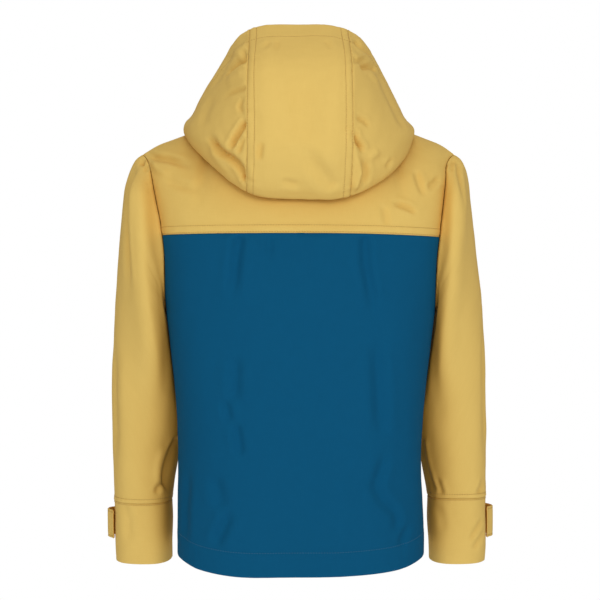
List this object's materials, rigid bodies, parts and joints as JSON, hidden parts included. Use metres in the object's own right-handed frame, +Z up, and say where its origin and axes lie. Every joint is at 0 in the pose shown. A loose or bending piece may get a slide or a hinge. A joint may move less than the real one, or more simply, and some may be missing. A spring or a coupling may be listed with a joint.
{
  "type": "anorak pullover",
  "caption": "Child's hooded anorak pullover with a short front zip, worn form with open neck, hem and cuffs, yellow hood, yokes and sleeves over a blue body.",
  "frame": {"origin": "on the middle plane, level with the neck points where the shoulder seams meet the neck seam: where the wearer's shoulders carry the garment", "axes": "+X to the wearer's left, +Y to the wearer's back, +Z up"},
  "size_m": [0.5136, 0.2652, 0.6857],
  "materials": {
    "yellow_cloth": "matte fine plain weave",
    "blue_cloth": "matte fine plain weave",
    "zip_tape": "woven tape with a coil of teeth",
    "zip_metal": "satin"
  },
  "bodies": {
    "garment": {"back_body": "blue_cloth", "front_body": "blue_cloth", "back_yoke": "yellow_cloth", "front_yoke_left": "yellow_cloth", "front_yoke_right": "yellow_cloth", "hood_centre": "yellow_cloth", "hood_side_left": "yellow_cloth", "hood_side_right": "yellow_cloth", "sleeve_left": "yellow_cloth", "sleeve_right": "yellow_cloth", "cuff_left": "yellow_cloth", "cuff_right": "yellow_cloth", "cuff_tab_left": "yellow_cloth", "cuff_tab_right": "yellow_cloth", "front_zip": "zip_tape", "zip_slider": "zip_metal"},
    "zip_pull": {"zip_pull": "zip_metal"}
  },
  "joints": [
    {"name": "zip_pull_swing", "type": "hinge", "parent": "garment", "child": "zip_pull", "pos_m": [0, -0.0904, -0.03353], "axis": [-1, 0, 0], "range_deg": [-15, 150]}
  ]
}
